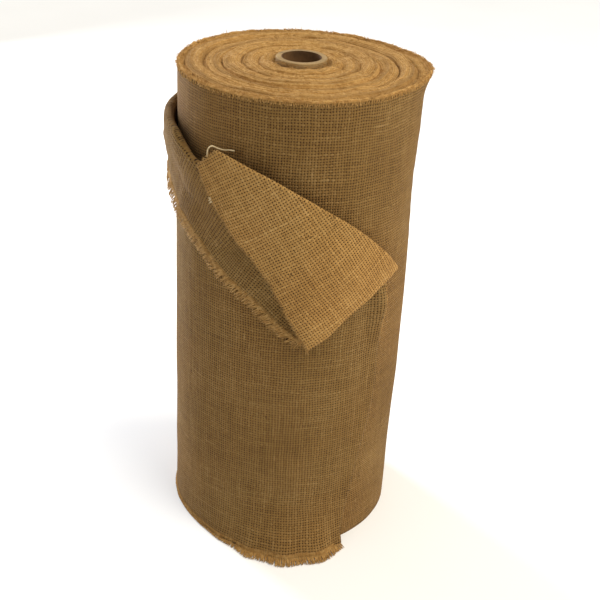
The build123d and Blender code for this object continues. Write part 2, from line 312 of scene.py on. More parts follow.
def jute_yarn(name, tone=1.0, seed=0.0, lo_=YARN_LO, mid_=YARN_MID, hi_=YARN_HI):
    """Loose yarn ends and fibres."""
    mat, nt, bsdf = new_material(name)
    g = G(nt)
    tc = nt.nodes.new("ShaderNodeTexCoord")
    o = tc.outputs["Object"]
    n1 = g.noise(o, 230.0 + seed, 2.0, 0.6)
    n2 = g.noise(o, 2400.0, 2.0, 0.6)
    s = g.m("ADD", g.m("MULTIPLY", n1, 0.75), g.m("MULTIPLY", n2, 0.35))
    col = g.ramp(s, [(0.30, tuple(c * tone for c in lo_)), (0.52, tuple(c * tone for c in mid_)), (0.80, tuple(min(1, c * tone) for c in hi_))])
    g.put(bsdf.inputs["Base Color"], col)
    bsdf.inputs["Roughness"].default_value = 0.9
    bsdf.inputs["Specular IOR Level"].default_value = 0.1
    bsdf.inputs["Sheen Weight"].default_value = 0.05
    g.put(bsdf.inputs["Normal"], g.bump(n2, 0.0003, 0.8))
    return mat


def end_grain(name, tone=1.0):
    """The roll's ends, where the edges of the turns show as matted fibre."""
    mat, nt, bsdf = new_material(name)
    g = G(nt)
    tc = nt.nodes.new("ShaderNodeTexCoord")
    sep = nt.nodes.new("ShaderNodeSeparateXYZ")
    nt.links.new(tc.outputs["Object"], sep.inputs[0])
    x, y, z = sep.outputs
    r = g.m("SQRT", g.m("ADD", g.m("MULTIPLY", x, x), g.m("MULTIPLY", y, y)))
    ang = g.m("ARCTAN2", y, x)
    polar = g.vec(g.m("MULTIPLY", ang, 0.06), g.m("MULTIPLY", r, 1.0), z)
    fluff = g.noise(tc.outputs["Object"], 700.0, 4.0, 0.65)
    mat_ = g.noise(tc.outputs["Object"], 120.0, 3.0, 0.6)
    rings = g.noise(polar, 330.0, 2.0, 0.6)
    s = g.m("ADD", g.m("MULTIPLY", fluff, 0.5), g.m("ADD", g.m("MULTIPLY", mat_, 0.35), g.m("MULTIPLY", rings, 0.35)))
    col = g.ramp(s, [(0.36, tuple(c * tone for c in YARN_LO)), (0.56, tuple(c * tone for c in YARN_MID)), (0.82, tuple(min(1, c * tone) for c in YARN_HI))])
    wob = g.m("MULTIPLY", g.m("SUBTRACT", g.noise(tc.outputs["Object"], 26.0, 2.0), 0.5), 0.007)
    rr = g.m("ADD", r, wob)
    for radius, width, amount in ((0.0275, 0.0030, 0.55), (0.0410, 0.0022, 0.30), (0.0560, 0.0030, 0.55), (0.0715, 0.0024, 0.40), (0.0835, 0.0032, 0.60), (0.0955, 0.0026, 0.45), (0.1085, 0.0034, 0.60)):
        d = g.m("DIVIDE", g.m("SUBTRACT", rr, radius), width)
        band = g.m("MULTIPLY", g.m("POWER", 2.718, g.m("MULTIPLY", g.m("MULTIPLY", d, d), -1.0)), amount)
        band = g.m("MULTIPLY", band, g.remap(g.noise(g.vec(x, y, radius * 40), 22.0, 1.0), 0.30, 0.60, 0.35, 1.0))
        col = g.mix(band, col, tuple(c * tone * 0.62 for c in YARN_LO))
    turn = g.m("SINE", g.m("ADD", g.m("MULTIPLY", g.m("DIVIDE", r, 2 * TURN * MM), 2 * math.pi), ang))
    # painted shade in the grooves between the turns, which the bump also sinks
    col = g.mix(g.remap(turn, -1.0, -0.2, 0.26, 0.0), col, tuple(c * tone * 0.7 for c in YARN_LO))
    g.put(bsdf.inputs["Base Color"], col)
    bsdf.inputs["Roughness"].default_value = 0.95
    bsdf.inputs["Specular IOR Level"].default_value = 0.08
    bsdf.inputs["Sheen Weight"].default_value = 0.05
    h = g.m("ADD", g.m("MULTIPLY", fluff, 1.0), g.m("MULTIPLY", turn, 0.18))
    g.put(bsdf.inputs["Normal"], g.bump(h, 0.0012, 0.9))
    return mat


def board(name):
    """Wound grey-brown paper board, with its spiral seam."""
    mat, nt, bsdf = new_material(name)
    g = G(nt)
    tc = nt.nodes.new("ShaderNodeTexCoord")
    sep = nt.nodes.new("ShaderNodeSeparateXYZ")
    nt.links.new(tc.outputs["Object"], sep.inputs[0])
    x, y, z = sep.outputs
    ang = g.m("DIVIDE", g.m("ARCTAN2", y, x), 2 * math.pi)
    spiral = g.m("FRACT", g.m("ADD", g.m("DIVIDE", z, 0.11), ang))
    seam = g.m("LESS_THAN", spiral, 0.012)
    r = g.m("SQRT", g.m("ADD", g.m("MULTIPLY", x, x), g.m("MULTIPLY", y, y)))
    fib = g.noise(tc.outputs["Object"], 900.0, 4.0, 0.6)
    blot = g.noise(tc.outputs["Object"], 60.0, 3.0, 0.6)
    plies = g.m("SINE", g.m("MULTIPLY", r, 2 * math.pi / 0.0011))
    s = g.m("ADD", g.m("MULTIPLY", fib, 0.5), g.m("MULTIPLY", blot, 0.5))
    col = g.ramp(s, [(0.30, (0.210, 0.135, 0.056)), (0.55, (0.400, 0.262, 0.112)), (0.80, (0.560, 0.385, 0.180))])
    col = g.mix(g.remap(plies, 0.2, 1.0, 0.0, 0.25), col, (0.30, 0.215, 0.12))
    # painted shade: the inside of the bore is coloured far darker than the board
    bore_shade = g.m("LESS_THAN", r, 0.0197)
    col = g.mix(bore_shade, col, g.mix(g.remap(blot, 0.35, 0.65, 0.0, 1.0), (0.100, 0.050, 0.018), (0.200, 0.100, 0.036)))
    col = g.mix(g.m("MULTIPLY", seam, 0.6), col, (0.05, 0.028, 0.013))
    g.put(bsdf.inputs["Base Color"], col)
    bsdf.inputs["Roughness"].default_value = 0.85
    bsdf.inputs["Specular IOR Level"].default_value = 0.25
    h = g.m("SUBTRACT", g.m("ADD", fib, g.m("MULTIPLY", plies, 0.25)), seam)
    g.put(bsdf.inputs["Normal"], g.bump(h, 0.0004, 0.7))
    return mat


M_ROLL = jute_cloth("jute_wound", 0.755, 0.0, -0.04)
M_LOOSE = jute_cloth("jute_loose", 0.730, 4.0, -0.04)
# the hanging corner's cloth: the same jute painted much lighter, a painted lit copy of the loose turn's cloth
M_PAINTED_LIT_JUTE = jute_cloth("jute_corner_painted_lit", 1.26, 8.0)
M_YARN = jute_yarn("jute_yarn", 1.16)
M_PALE = jute_yarn("jute_pale_yarn", 1.0, 20.0, (0.44, 0.33, 0.17), (0.62, 0.48, 0.27), (0.78, 0.63, 0.40))
M_FUZZ = jute_yarn("jute_fibre", 1.55, 60.0)
M_END = end_grain("jute_turn_edges", 1.68)
M_BOARD = board("core_board")


# ---------------------------------------------------------------------------
# mesh building
# ---------------------------------------------------------------------------
def grid_faces(n, m, off=0, loop_n=False):
    i, j = np.meshgrid(np.arange(n if loop_n else n - 1), np.arange(m - 1), indexing="ij")
    i2 = (i + 1) % n
    f = np.stack([i * m + j, i2 * m + j, i2 * m + j + 1, i * m + j + 1], -1).reshape(-1, 4)
    return f + off


class Build:
    """Collects grids of quads with cloth coordinates, in millimetres."""

    def __init__(self):
        self.v, self.f, self.uv, self.mi, self.n = [], [], [], [], 0

    def grid(self, V, UV=None, mat=0, closed=False, flip=False, keep=None):
        """mat is one slot number, or one for each face."""
        n, m = V.shape[:2]
        f = grid_faces(n, m, 0, closed)
        uv = np.zeros((n, m, 2)) if UV is None else UV
        uvf = uv.reshape(-1, 2)[f]
        if closed and UV is not None:      # last column runs on instead of wrapping back
            step = UV[-1, :, 0] - UV[-2, :, 0]
            last = f[:, 0] // m == n - 1
            for k in (1, 2):
                r = f[last, k] % m
                uvf[last, k, 0] = (UV[-1, :, 0] + step)[r]
        if flip:
            f, uvf = f[:, ::-1], uvf[:, ::-1]
        if keep is not None:
            f, uvf = f[keep], uvf[keep]
        self.v.append(V.reshape(-1, 3))
        self.f.append(f + self.n)
        self.uv.append(uvf)
        self.mi.append(np.broadcast_to(mat, len(f)))
        self.n += n * m
        return self

    def object(self, name, mats, weld=0.002, smooth_=True):
        v = np.concatenate(self.v) * MM
        f = np.concatenate(self.f)
        uv = np.concatenate(self.uv)
        mi = np.concatenate(self.mi)
        me = bpy.data.meshes.new(name)
        me.vertices.add(len(v))
        me.vertices.foreach_set("co", v.astype(np.float32).ravel())
        me.loops.add(len(f) * 4)
        me.loops.foreach_set("vertex_index", f.astype(np.int32).ravel())
        me.polygons.add(len(f))
        me.polygons.foreach_set("loop_start", (np.arange(len(f)) * 4).astype(np.int32))
        me.polygons.foreach_set("material_index", mi.astype(np.int32))
        layer = me.uv_layers.new(name="cloth")
        layer.data.foreach_set("uv", (uv * MM).astype(np.float32).ravel())
        me.update(calc_edges=True)
        me.validate()
        ob = bpy.data.objects.new(name, me)
        bpy.context.scene.collection.objects.link(ob)
        for m_ in mats:
            me.materials.append(m_)
        if weld:
            bm = bmesh.new()
            bm.from_mesh(me)
            bmesh.ops.remove_doubles(bm, verts=bm.verts, dist=weld * MM)
            loose = [x for x in bm.verts if not x.link_faces]
            bmesh.ops.delete(bm, geom=loose, context="VERTS")
            bm.to_mesh(me)
            bm.free()
        if smooth_:
            me.polygons.foreach_set("use_smooth", np.ones(len(me.polygons), bool))
        me.update()
        return ob


def thicken(ob, t=0.9, offset=0.0):
    m = ob.modifiers.new("cloth_thickness", "SOLIDIFY")
    m.thickness = t * MM
    m.offset = offset
    m.use_even_offset = False
    return ob


def threads(name, paths, radii, mat, sides=4):
    """Tapered tubes along short paths: paths (k, n, 3) in mm, radii (k, n)."""
    P = np.asarray(paths, float)
    Rr = np.asarray(radii, float)
    k, n = P.shape[:2]
    T = np.gradient(P, axis=1)
    T /= np.linalg.norm(T, axis=2, keepdims=True) + 1e-9
    ref = np.tile(np.array([0.31, 0.52, 0.79]), (k, n, 1))
    A = np.cross(T, ref)
    A /= np.linalg.norm(A, axis=2, keepdims=True) + 1e-9
    B = np.cross(T, A)
    ph = np.arange(sides) / sides * 2 * math.pi
    ring = (A[:, :, None, :] * np.cos(ph)[None, None, :, None] + B[:, :, None, :] * np.sin(ph)[None, None, :, None])
    V = P[:, :, None, :] + ring * Rr[:, :, None, None]          # k, n, sides, 3
    verts = V.reshape(-1, 3)
    i, j, s = np.meshgrid(np.arange(k), np.arange(n - 1), np.arange(sides), indexing="ij")
    s2 = (s + 1) % sides
    base = i * n * sides
    f = np.stack([base + j * sides + s, base + j * sides + s2, base + (j + 1) * sides + s2, base + (j + 1) * sides + s], -1).reshape(-1, 4)
    i0 = np.arange(k) * n * sides
    cap0 = np.stack([i0 + q for q in reversed(range(sides))], -1)
    cap1 = np.stack([i0 + (n - 1) * sides + q for q in range(sides)], -1)
    f = np.concatenate([f, cap0, cap1]) if sides == 4 else f
    me = bpy.data.meshes.new(name)
    me.from_pydata((verts * MM).tolist(), [], f.tolist())
    me.polygons.foreach_set("use_smooth", np.ones(len(me.polygons), bool))
    me.materials.append(mat)
    me.update()
    ob = bpy.data.objects.new(name, me)
    bpy.context.scene.collection.objects.link(ob)
    return ob


# ---------------------------------------------------------------------------
# wound turns
# ---------------------------------------------------------------------------
BUNDLES = [("inner_turns", 25.0, 41.0, 499.6, 11), ("second_turns", 41.0, 58.0, 498.6, 12),
           ("middle_turns", 58.0, 76.0, 500.0, 13), ("fourth_turns", 76.0, 95.0, 497.4, 14),
           ("outer_turns", 95.0, 112.0, 498.6, 15)]


def end_height(a, r, r0, r1, seed, sign=1.0):
    """Relief of the turns' edges on the roll's end."""
    t = (r - r0) / (r1 - r0)
    ang = np.radians(a)
    s4 = r + 4.1 * ang / (2 * math.pi)
    if r0 < 26:
        inner_ = -1.6 * np.exp(-((r - r0) / 3.0) ** 2)
    else:
        inner_ = -1.5 * np.exp(-((r - r0) / 2.2) ** 2)
    groove = inner_ - 1.9 * np.exp(-((r1 - r) / 2.0) ** 2)
    crown = 1.3 * np.sin(np.clip(t, 0, 1) * math.pi) ** 0.8
    turns_ = 0.42 * np.sin(2 * math.pi * s4 / 4.1 + seed)
    wob = 0.55 * round_noise(a, r, 0, 11.0, seed, 6.0) + 0.75 * round_noise(a, r * 0.3, 0, 30.0, seed + 50, 2.0)
    return sign * (groove + crown + turns_ + wob)


def bundle(name, r0, r1, top, seed):
    na = 288
    nr = int(round((r1 - r0) / 0.9)) + 1
    a = np.arange(na) / na * 360.0
    r = np.linspace(r0, r1, nr)
    A, Rr = np.meshgrid(a, r, indexing="ij")
    ang = np.radians(A)
    # the bundles are not quite round
    Rw = Rr + 0.5 * np.sin(2 * ang + seed) * ((Rr - r0) / (r1 - r0)) * (1 if r1 < 111 else 0.3)
    ztop = np.maximum(top + end_height(A, Rr, r0, r1, seed), top - 5.0)
    zbot = 0.6 + 0.5 * np.abs(end_height(A, Rr, r0, r1, seed + 7))
    zbot = np.where(np.abs(Rr - 0.5 * (r0 + r1)) < 2.5, 0.0, np.clip(zbot, 0.0, 3.0))
    b = Build()
    V = xyz(A, Rw, ztop)
    b.grid(V, None, 0, closed=True, flip=False)
    W = xyz(A, Rw, zbot)
    b.grid(W, None, 0, closed=True, flip=True)
    for side, fl in ((0, False), (-1, True)):
        col = np.stack([W[:, side], V[:, side]], 1)
        b.grid(col, None, 0, closed=True, flip=fl)
    ob = b.object(name + "_cloth", [M_END])
    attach(ob, "roll")
    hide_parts(name)
    return ob


for spec in BUNDLES:
    bundle(*spec)

lip_amount = table([(-180, 0), (52, 0), (66, 1.2), (80, 4.6), (93, 8.2), (106, 6.6), (124, 2.3), (145, 0.4), (180, 0)])


swell = table([(-10, 0.5), (60, 0.3), (110, 1.0), (145, 2.0), (180, 2.7), (250, 2.7), (285, 2.0), (330, 0.8), (395, -0.4), (420, 0.5), (445, 1.6), (470, 1.9), (490, 1.2), (520, 1.0)])


def roll_r(a, z):
    """Outside of the last full turn."""
    a = (np.asarray(a, float) + 180) % 360 - 180
    r = ROLL_R + 0.35 * round_noise(a, 0, z, 120.0, 71) + 0.18 * round_noise(a, 0, np.asarray(z, float) * 0.4, 34.0, 72)
    r = r + swell(z) * smooth((a - 58) / 22.0) * smooth((150 - a) / 40.0)
    # faint slack creases across the upper right
    r = r + 0.35 * noise(a * 0.35, z, 17.0, 73) * smooth((a - 10) / 30) * smooth((110 - a) / 40) * smooth((z - 300) / 60) * smooth((470 - z) / 40)
    lip = lip_amount(a) * smooth((z - 470) / 30.0) ** 1.6
    return r + lip


def last_turn_piece():
    na, nz = 340, 118
    a = np.arange(na) / na * 360.0 - 158.0          # its seam lies under the loose turn
    z = np.concatenate([np.linspace(0.0, 470, nz - 16), np.linspace(473, 497.5, 16)])
    A, Z = np.meshgrid(a, z, indexing="ij")
    V = xyz(A, roll_r(A, Z), Z)
    UV = np.stack([np.radians(A) * ROLL_R, Z], -1)
    b = Build()
    b.grid(V, UV, 0, closed=True)
    # top edge rolls over and runs in over the last few turns
    r_out = roll_r(a, np.full_like(a, 497.5))
    prof = [(0.0, 0.0), (-0.6, 1.4), (-1.6, 2.1), (-2.8, 1.7), (-3.9, 0.6), (-4.6, -0.8)]
    steps = np.linspace(-5.4, -(ROLL_R - 112.0) - 0.0, 3)
    prof += [(s_, -1.6 + 0.5 * k) for k, s_ in enumerate(steps)]
    T = []
    for k, (dr, dz) in enumerate(prof):
        r = r_out + dr * (1 if k < len(prof) - 1 else 1)
        if k == len(prof) - 1:
            r = np.full_like(a, 112.2)
        zz = 497.5 + dz + (0.7 * round_noise(a, 0, k * 1.0, 12.0, 81) + 0.5 * round_noise(a, 0, k * 1.0, 40.0, 82)) * (0 if k == 0 else 1)
        T.append(xyz(a, r, zz))
    T = np.stack(T, 1)
    b.grid(T, None, 1, closed=True)
    inner = np.stack([T[:, -1], xyz(a, 112.2, np.full_like(a, 480.0))], 1)
    b.grid(inner, None, 1, closed=True)
    # lower end
    B0 = np.stack([V[:, 0], xyz(a, 115.0, np.full_like(a, 0.0)), xyz(a, 112.2, np.full_like(a, 1.2)), xyz(a, 112.2, np.full_like(a, 20.0))], 1)
    b.grid(B0, None, 1, closed=True, flip=True)
    ob = b.object("last_turn_cloth", [M_ROLL, M_END])
    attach(ob, "roll")
    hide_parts("last_turns")
    return ob


last_turn_piece()

# ---------------------------------------------------------------------------
# loose last turn
# ---------------------------------------------------------------------------
ridge = table([(-150, 499), (-135, 476), (-120, 459.5), (-105, 451), (-90, 449.5), (-75, 450), (-62, 448),
               (-54, 439.5), (-46, 430.5), (-40, 428.5), (-34, 427), (-18.6, 422.5), (-2, 411), (10.5, 393.5),
               (24, 373.5), (34, 357.5), (46, 331.5), (54, 316.5), (64, 300)])
fold_b = table([(-150, 0.4), (-135, 3.0), (-118, 4.6), (-100, 5.0), (-80, 4.8), (-60, 4.2), (-40, 3.4), (0, 2.9), (30, 2.1), (44, 1.5), (54, 1.0), (64, 0.9)])
standoff = table([(-166, 0), (-150, 0.3), (-130, 1.2), (-100, 1.9), (-85, 2.6), (-68, 4.6), (-54, 6.6), (-44, 7.0), (-20, 6.0), (10, 4.4), (30, 2.2), (44, 1.0), (54, 0.6), (64, 0.5)])
skirt = table([(-166, 0), (-100, 0.2), (-75, 0.9), (-55, 1.3), (-42, 2.4), (-35, 4.0), (-28, 6.4), (-18.5, 10.0), (-10.7, 15.5), (2, 21.0), (11, 22.0), (22.6, 17.5), (31, 10.5), (40, 7.0), (64, 6)])
end_edge = table([(0, 32.0), (11, 31.9), (30, 34.2), (58.7, 37.7), (110, 42.5), (145, 46.3), (192, 48.9), (227, 48.0), (254, 47.6), (271, 48.0), (286, 47.6), (296, 48.4), (306, 51.6), (318, 54.8)])
Z_B = 316.5


def wall_r(a, z):
    a = np.asarray(a, float)
    zt = ridge(np.maximum(a, -150.0)) - fold_b(np.maximum(a, -150.0))
    r = 119.9 + 0.25 * noise(a * 2.1, z * 0.8, 90.0, 31) + 0.15 * noise(a * 2.1, z * 0.5, 30.0, 32)
    r = r - 1.6 * smooth((-152 - a) / 12.0)                       # where it leaves the roll
    r = r + standoff(a) * smooth((z - (zt - 95)) / 95.0) ** 1.4
    t = np.clip(1 - z / 74.0, 0, 1)
    ripple = 1 + 0.08 * np.sin(np.radians(a) * 21 + 0.6) * smooth((40 - z) / 40)
    r = r + skirt(a) * ripple * t ** 2.2
    # slack between the ply below and this one, towards the free end
    r = r + 0.8 * smooth((a + 45) / 60.0) * smooth(z / 60) * smooth((zt - z) / 60 + 0.4)
    return r


def curl(a, z, s):
    """The free end stands out in a soft ridge, most where the corner pulls on it."""
    k = smooth((s - 0.960) / 0.038)
    dip = np.exp(-((s - 0.948) / 0.014) ** 2) * np.exp(-((z - 280) / 34.0) ** 2)
    h = 1.0 + 7.0 * np.exp(-((z - 288) / 21.0) ** 2) + 3.0 * np.exp(-((z - 256) / 22.0) ** 2) + 1.0 * np.exp(-((z - 150) / 50.0) ** 2)
    return (k * h - 0.5 * dip) * smooth((315 - z) / 14.0)


def wall_theta(s, w):
    e = end_edge(w * Z_B)
    return -166.0 + s * (e + 166.0)


NS, NW = 176, 104
S, W = np.meshgrid(np.linspace(0, 1, NS), np.linspace(0, 1, NW), indexing="ij")
A_w = wall_theta(S, W)
A_c = np.maximum(A_w, -150.0)
z_top = np.where(A_w < -150, 497.5, ridge(A_c) - fold_b(A_c))
Z_w = 1.1 + W * (z_top - 1.1)
R_w = wall_r(A_w, Z_w) + curl(A_w, Z_w, S)
WALL = xyz(A_w, R_w, Z_w)
UV_w = np.stack([np.radians(A_w) * ROLL_R, Z_w], -1)

# frayed edge of the folded-down cloth, in (angle, height)
fray = table([(-150, 499), (-138, 484), (-120, 459), (-110, 440), (-100, 420), (-90, 400), (-80, 387), (-70, 375.5), (-61.6, 366.5),
              (-50.5, 352.0), (-39.9, 336.2), (-33.1, 323.2), (-19.0, 303.5), (-6.1, 279.8), (0.3, 267.8), (7.0, 258.0),
              (16.1, 268.5), (24.2, 284.5), (35.3, 302.0), (44.8, 312.5), (54, 315.5), (64, 316)])
RF = 126.0
fa_ = np.linspace(-150, 7.0, 500)
fx, fz = np.radians(fa_) * RF, fray(fa_)
# the line of the selvedge, run on past the hanging corner
dx, dz = fx[-1] - fx[-30], fz[-1] - fz[-30]
dl = math.hypot(dx, dz)
fx = np.concatenate([fx, fx[-1] + dx / dl * np.linspace(2, 160, 60)])
fz = np.concatenate([fz, fz[-1] + dz / dl * np.linspace(2, 160, 60)])
fs = np.concatenate([[0], np.cumsum(np.hypot(np.diff(fx), np.diff(fz)))])


def cuff_uv(a, z):
    x = np.radians(a) * RF
    sh = x.shape
    x, zz = x.reshape(-1, 1), np.asarray(z, float).reshape(-1, 1)
    d = np.hypot(x - fx[None], zz - fz[None])
    i = d.argmin(1)
    return np.stack([fs[i].reshape(sh), 500.0 - d.min(1).reshape(sh)], -1)


def smooth_uv(uv):
    """Take out the small steps of the nearest-point search."""
    for _ in range(3):
        uv[1:-1, :, 0] = 0.25 * uv[:-2, :, 0] + 0.5 * uv[1:-1, :, 0] + 0.25 * uv[2:, :, 0]
    return uv


# rounded fold along the diagonal
top_a = A_w[:, -1]
has_fold = top_a >= -150.0
ta = top_a[has_fold]
rb = fold_b(ta)
zt = ridge(ta) - rb
rc = (R_w[:, -1])[has_fold] + rb
PHI = np.linspace(0, math.pi, 11)
FA = np.repeat(ta[:, None], len(PHI) + 1, 1)
FR = np.stack([rc - rb * math.cos(p) for p in PHI] + [rc + rb * 1.02], 1)
FZ = np.stack([zt + rb * math.sin(p) for p in PHI] + [zt - 2.2 * np.minimum(1, rb / 2)], 1)
bulge = 0.5 * noise(FA * 2.1, FZ * 0.5, 60.0, 41)
FR = FR + bulge * np.concatenate([[0.0], np.sin(PHI[1:] * 0.5), [1.0]])[None]
FOLD = xyz(FA, FR, FZ)
half = 3
UV_f = np.stack([np.radians(FA) * ROLL_R, np.repeat(zt[:, None], FA.shape[1], 1) + np.concatenate([PHI * 1.0, [math.pi]])[None] * rb[:, None]], -1)
UV_c = smooth_uv(cuff_uv(FA, FZ))

# folded-down cloth from the fold to its frayed edge
cuff_gap = table([(-150, 0.5), (-130, 3.0), (-100, 5.2), (-80, 5.4), (-62, 5.0), (-50, 4.0), (-30, 3.4), (0, 3.0), (9, 3.0), (30, 2.4), (44, 1.8), (54, 1.5), (64, 1.5)])
NT = 56


def cuff_grid(sel):
    a = FA[sel, -1]
    r0, z0 = FR[sel, -1], FZ[sel, -1]
    z1 = np.minimum(fray(a), z0 - 0.5)
    t = np.linspace(0, 1, NT)
    A = np.repeat(a[:, None], NT, 1)
    Z = z0[:, None] + (z1 - z0)[:, None] * t[None]
    drop_ = (z0 - z1)[:, None]
    k = smooth(t[None] * np.clip(drop_ / 45.0, 1.0, 3.0)) * smooth(drop_ / 20.0)
    Rr = r0[:, None] * (1 - k) + (wall_r(A, Z) + cuff_gap(a)[:, None]) * k
    Rr = Rr + 0.9 * noise(A * 2.1, Z, 70.0, 42) * smooth(t[None] * 3) + 0.45 * noise(A * 2.1, Z, 24.0, 43) * smooth(t[None] * 3)
    Rr = Rr - 0.35 * smooth((t[None] - 0.9) / 0.1)
    return A, Rr, Z


SEAM = -112.0
i_seam = int(np.argmin(np.abs(ta - SEAM)))
b = Build()
b.grid(WALL, UV_w, 0)
b.grid(FOLD[:, :half], UV_f[:, :half], 0)
b.grid(FOLD[:, half - 1:], UV_c[:, half - 1:], 0)
selL = slice(0, i_seam + 1)
Ac, Rc, Zc = cuff_grid(selL)
b.grid(xyz(Ac, Rc, Zc), smooth_uv(cuff_uv(Ac, Zc)), 0)
loose = b.object("loose_turn_cloth", [M_LOOSE], weld=0.02)
thicken(loose)
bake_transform(loose)
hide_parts("loose_turn_root", "loose_turn_left", "loose_turn_front", "diagonal_fold_root", "diagonal_fold_left", "diagonal_fold_front")


def bend_corner(ob):
    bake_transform(ob)


selR = slice(i_seam, len(ta))
Ar, Rr_, Zr = cuff_grid(selR)
b = Build()
b.grid(xyz(Ar, Rr_, Zr), smooth_uv(cuff_uv(Ar, Zr)), 0)
cuff = b.object("cuff_cloth", [M_LOOSE])
thicken(cuff)
bend_corner(cuff)
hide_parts("cuff_left", "cuff_front", "cuff_corner")

# turned-under end: behind the free end, with the rounded fold that joins them
NU = 44


def end_bead(a, z):
    """Radius of the rounded fold at the free end."""
    return 0.8 + 2.9 * np.clip((curl(a, z, np.ones_like(a)) - 1.2) / 4.0, 0, 1)


zz = np.linspace(0, 1, 80)
E_a, E_z, E_r = A_w[-1], Z_w[-1], R_w[-1]
idx = np.linspace(0, len(E_z) - 1, 80).astype(int)
ea, ez, er = E_a[idx], E_z[idx], E_r[idx]
rows = []
for p in np.linspace(0, math.pi, 8):
    bead = end_bead(ea, ez)
    rows.append((ea + np.degrees(bead * math.sin(p) / 120.0), er - bead + bead * math.cos(p), ez))
r_in = er - 2 * end_bead(ea, ez)
for k in range(1, NU):
    f = k / (NU - 1)
    a_ = ea - f * 88.0
    lift = np.maximum(wall_r(a_, ez) - 0.95, 118.95)
    r_ = r_in * (1 - smooth(f * 6)) + lift * smooth(f * 6)
    rows.append((a_, r_, ez))
UA = np.stack([r[0] for r in rows], 1)
UR = np.stack([r[1] for r in rows], 1)
UZ = np.stack([np.broadcast_to(r[2], ea.shape) for r in rows], 1)
top_lim = ridge(np.maximum(UA, -150)) - 6.0
UZ = np.minimum(UZ, top_lim)
UV_u = np.stack([np.radians(UA) * ROLL_R + 3.1, UZ + 1.0], -1)
b = Build()
# painted highlight: the rounded bead of the free end between heights 244 and 312 takes the lighter, painted-lit corner
# cloth
bead_highlight_faces = np.zeros((UA.shape[0] - 1, UA.shape[1] - 1), int)
zmid = 0.5 * (ez[:-1] + ez[1:])
bead_highlight_faces[(zmid > 244) & (zmid < 312), :7] = 1
b.grid(xyz(UA, UR, UZ), UV_u, bead_highlight_faces.ravel())
under = b.object("turned_under_cloth", [M_LOOSE, M_PAINTED_LIT_JUTE])
thicken(under, 0.7)
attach(under, "loose_turn")
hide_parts("turned_under_end", "end_fold")

# ---------------------------------------------------------------------------
# hanging corner
# ---------------------------------------------------------------------------
A1A2 = [(-41.4, 428.0, 133.8), (-37.4, 437.6, 134.3), (-34.9, 442.6, 134.3), (-32.7, 446.2, 133.8)]
A2B = [(-32.7, 446.2, 133.8), (-28.5, 443.6, 133.6), (-24.2, 440.6, 133.3), (-17.9, 435.4, 132.8), (-9.9, 428.2, 132.3),
       (-2.0, 419.2, 131.8), (4.0, 411.6, 131.3), (10.3, 402.8, 130.8), (16.8, 393.2, 130.3), (23.7, 382.8, 129.8),
       (34.2, 364.6, 128.8), (41.7, 350.2, 128.3), (48.8, 335.2, 127.8), (56.0, 319.6, 126.8)]
CB = [(8.6, 256.0, 133.8), (12.0, 261.6, 133.8), (16.1, 268.3, 133.3), (24.2, 285.0, 132.3), (35.3, 300.9, 130.8), (44.8, 310.8, 128.8), (56.0, 319.6, 126.8)]
A1C = [(-41.4, 428.0, 133.8), (-38.6, 413.3, 133.8), (-34.8, 399.1, 133.8), (-28.5, 379.9, 133.3), (-21.7, 361.3, 132.8), (-13.7, 342.4, 132.8),
       (-7.0, 321.4, 132.8), (-4.0, 307.4, 132.8), (-1.0, 294.2, 133.2), (2.1, 281.2, 133.5), (5.2, 269.4, 133.8), (8.6, 256.0, 133.8)]


def polyline(pts, n):
    P = np.array(pts, float)
    Q = P.copy()
    Q[:, 0] = np.radians(P[:, 0]) * 128.0
    s = np.concatenate([[0], np.cumsum(np.linalg.norm(np.diff(Q, axis=0), axis=1))])
    t = np.linspace(0, s[-1], n)
    fx_ = [table(list(zip(s, P[:, k])))(t) for k in range(3)]
    return np.stack(fx_, 1)


NP, NQ = 96, 64             # along the selvedge, and from the selvedge to the fold
L_ = polyline(A1C, NP)      # selvedge, cut end to hanging corner
Rt = polyline(A2B, NP)      # fold
T_ = polyline(A1A2, NQ)     # cut end
Bt = polyline(CB, NQ)       # free end
pu = np.linspace(0, 1, NP)[:, None, None]
qv = np.linspace(0, 1, NQ)[None, :, None]
C4 = (L_[:, None] * (1 - qv) + Rt[:, None] * qv + T_[None] * (1 - pu) + Bt[None] * pu
      - (T_[0] * (1 - pu) * (1 - qv) + T_[-1] * (1 - pu) * qv + Bt[0] * pu * (1 - qv) + Bt[-1] * pu * qv))
FLA, FLZ, FLR = C4[..., 0], C4[..., 1], C4[..., 2]
belly = np.sin(pu[..., 0] * math.pi) * np.sin(qv[..., 0] * math.pi)
FLR = FLR + 1.2 * belly + 0.7 * noise(FLA * 2.2, FLZ, 85.0, 61) + 0.3 * noise(FLA * 2.2, FLZ, 32.0, 62)


def cover_r(a, z):
    """Outside of the cloth the corner lies on."""
    zt_ = ridge(a)
    rb_ = fold_b(a)
    base = wall_r(a, np.minimum(z, zt_ - rb_))
    over = wall_r(a, zt_ - rb_) + 2.05 * rb_
    k = smooth((z - (zt_ - 34.0)) / 30.0)
    return np.maximum(base + cuff_gap(a), over * k + (base + cuff_gap(a)) * (1 - k))


need = cover_r(FLA, FLZ) + 1.3
FLR = FLR + 0.5 * (np.sqrt((need - FLR) ** 2 + 0.25) + (need - FLR))
edge_wave = 0.5 * noise(np.linspace(0, 200, NP), 0, 14.0, 63)
FLA = FLA + (edge_wave[:, None] * 0.35) * (1 - smooth(qv[..., 0] * 8))


def flap_uv(a, z):
    x = np.radians(a) * 129.0
    px, pz = x - math.radians(8.6) * 129.0, z - 256.0
    return np.stack([px * -0.551 + pz * 0.835, 500.0 - (px * 0.835 + pz * 0.551)], -1)


